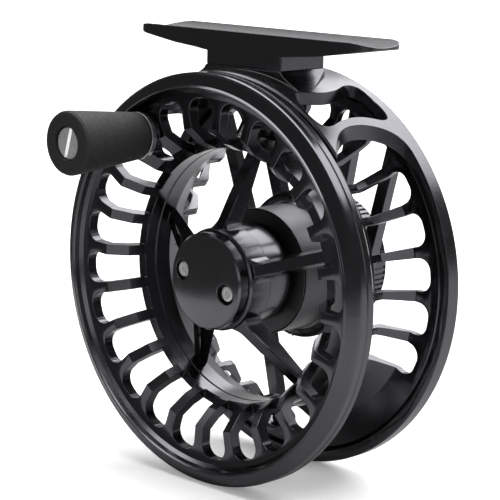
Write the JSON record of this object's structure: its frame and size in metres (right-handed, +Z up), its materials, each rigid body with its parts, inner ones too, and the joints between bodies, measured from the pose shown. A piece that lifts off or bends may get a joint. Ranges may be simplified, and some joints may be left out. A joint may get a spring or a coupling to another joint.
{
  "type": "fly reel",
  "caption": "Large-arbor fly fishing reel: slotted spool with crank handle in a half-cage frame, disc drag with knurled rear knob, click, and a rod-seat foot.",
  "frame": {"origin": "middle of the foot's hollow seat, where it lies on the rod's reel seat", "axes": "+Z up through the foot and away from the axle, X along the foot and the rod, -Y the handle side, +Y the drag knob"},
  "size_m": [0.084, 0.0605, 0.0915],
  "materials": {
    "spool_anodised": "satin black anodised",
    "frame_anodised": "satin black anodised",
    "cap_anodised": "gloss black anodised",
    "screw_steel": "bright",
    "spindle_steel": "ground",
    "grip_black": "soft-touch matte",
    "bush_polymer": "moulded",
    "seal_rubber": "plain",
    "rotor_carbon": "woven carbon",
    "bronze": "turned"
  },
  "bodies": {
    "frame": {"frame": "frame_anodised", "reel_foot": "frame_anodised", "foot_screws": "screw_steel", "spindle": "spindle_steel", "spindle_nut": "screw_steel", "knob_washer": "bush_polymer", "drag_housing": "cap_anodised", "housing_screws": "screw_steel", "housing_seal": "seal_rubber", "brake_stators": "spindle_steel", "pressure_plate": "spindle_steel", "detent_ball": "screw_steel", "click_spring": "spindle_steel"},
    "drag_hub": {"drag_hub": "spindle_steel", "hub_bush_front": "bush_polymer", "hub_bush_rear": "bush_polymer", "clutch_shell": "spindle_steel", "clutch_rollers": "spindle_steel", "rotor_sleeve": "spindle_steel", "brake_rotors": "rotor_carbon", "click_gear": "bronze"},
    "spool": {"spool": "spool_anodised", "spool_cap": "cap_anodised", "cap_screws": "screw_steel", "latch_clip": "spindle_steel", "handle_post": "screw_steel", "handle_washer": "screw_steel", "head_washer": "bush_polymer"},
    "handle": {"handle_knob": "grip_black", "handle_sleeve": "bush_polymer"},
    "drag_knob": {"drag_knob": "frame_anodised", "knob_cover": "cap_anodised"},
    "drag_press": {"drag_nut": "bronze", "push_pins": "spindle_steel", "thrust_ring": "spindle_steel", "drag_springs": "spindle_steel"},
    "click_plunger": {"click_plunger": "spindle_steel"}
  },
  "joints": [
    {"name": "spool_spin", "type": "hinge", "parent": "frame", "child": "drag_hub", "pos_m": [0, -0.0161, -0.0484], "axis": [0, 1, 0], "continuous": true},
    {"name": "spool_release", "type": "slide", "parent": "drag_hub", "child": "spool", "axis": [0, -1, 0], "range_m": [0, 0.04], "deforming": ["latch_clip"]},
    {"name": "handle_spin", "type": "hinge", "parent": "spool", "child": "handle", "pos_m": [-0.01868, -0.0161, -0.02071], "axis": [0, 1, 0], "continuous": true},
    {"name": "drag_adjust", "type": "hinge", "parent": "frame", "child": "drag_knob", "pos_m": [0, -0.0161, -0.0484], "axis": [0, 1, 0], "range_deg": [0, 300]},
    {"name": "drag_press", "type": "slide", "parent": "frame", "child": "drag_press", "axis": [0, -1, 0], "range_m": [0, 0.00042], "deforming": ["drag_springs"]},
    {"name": "click_play", "type": "slide", "parent": "frame", "child": "click_plunger", "axis": [0, 0, -1], "range_m": [0, 0.0006], "stiffness_N_per_m": 40, "deforming": ["click_spring"]}
  ],
  "couplings": [
    {"joint": "drag_press", "follows": "drag_adjust", "m_per_rad": 0.000079577}
  ]
}
